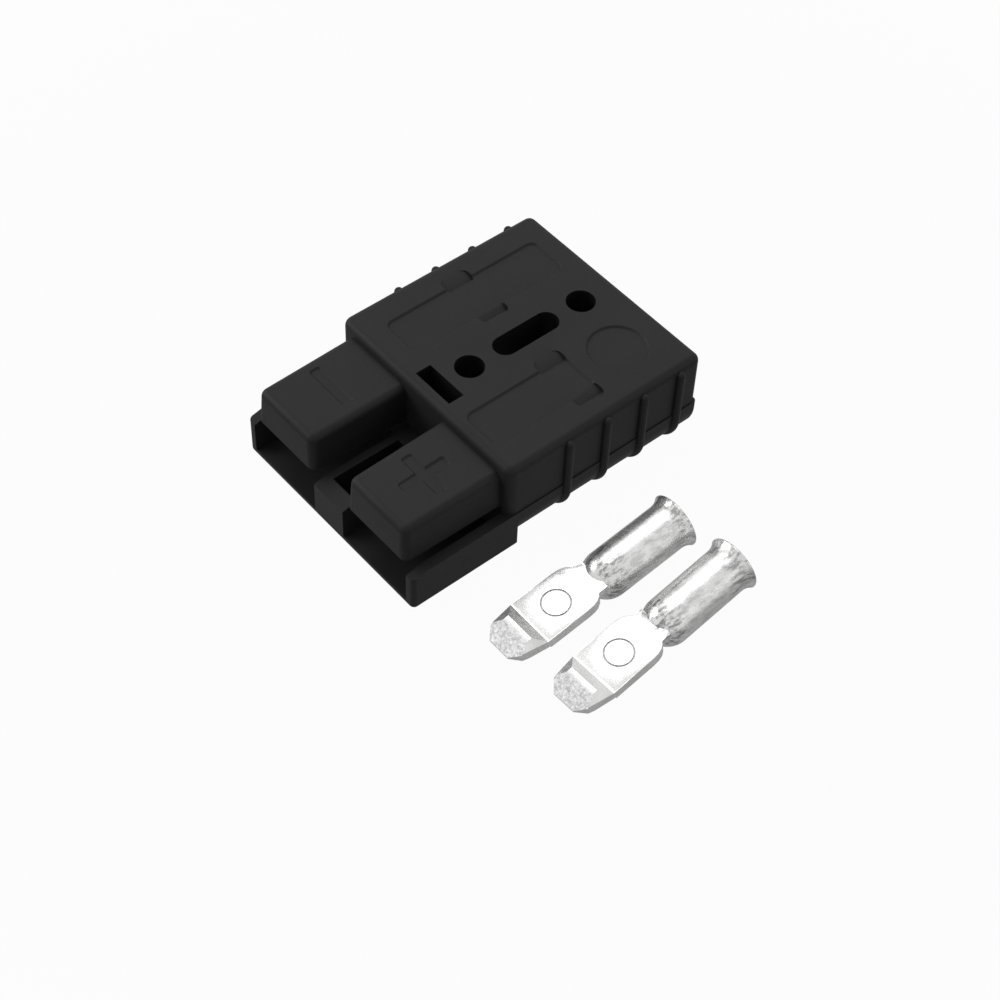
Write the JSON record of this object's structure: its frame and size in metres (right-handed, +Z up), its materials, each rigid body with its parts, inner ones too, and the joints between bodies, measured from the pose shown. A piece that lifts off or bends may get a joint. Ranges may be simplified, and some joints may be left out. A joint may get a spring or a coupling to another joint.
{
  "type": "genderless power connector",
  "caption": "Flat genderless two-pole power connector with hooded tongues, open mating bays, ribbed sides and flared crimp contacts lying beside it.",
  "frame": {"origin": "on the underside, midway between the two mounting holes", "axes": "+X across the two poles towards the positive side and the loose contacts, -Y towards the mating face, +Y towards the cable face, +Z up"},
  "size_m": [0.0644, 0.05, 0.0157],
  "materials": {
    "housing": "charcoal moulded plastic, satin, with a fine grain",
    "spring": "stainless spring strip",
    "contact": "bright tin plating over copper"
  },
  "bodies": {
    "root": {"housing": "housing", "spring_plus": "spring", "spring_minus": "spring", "contact_plus": "contact", "contact_minus": "contact"}
  },
  "joints": []
}
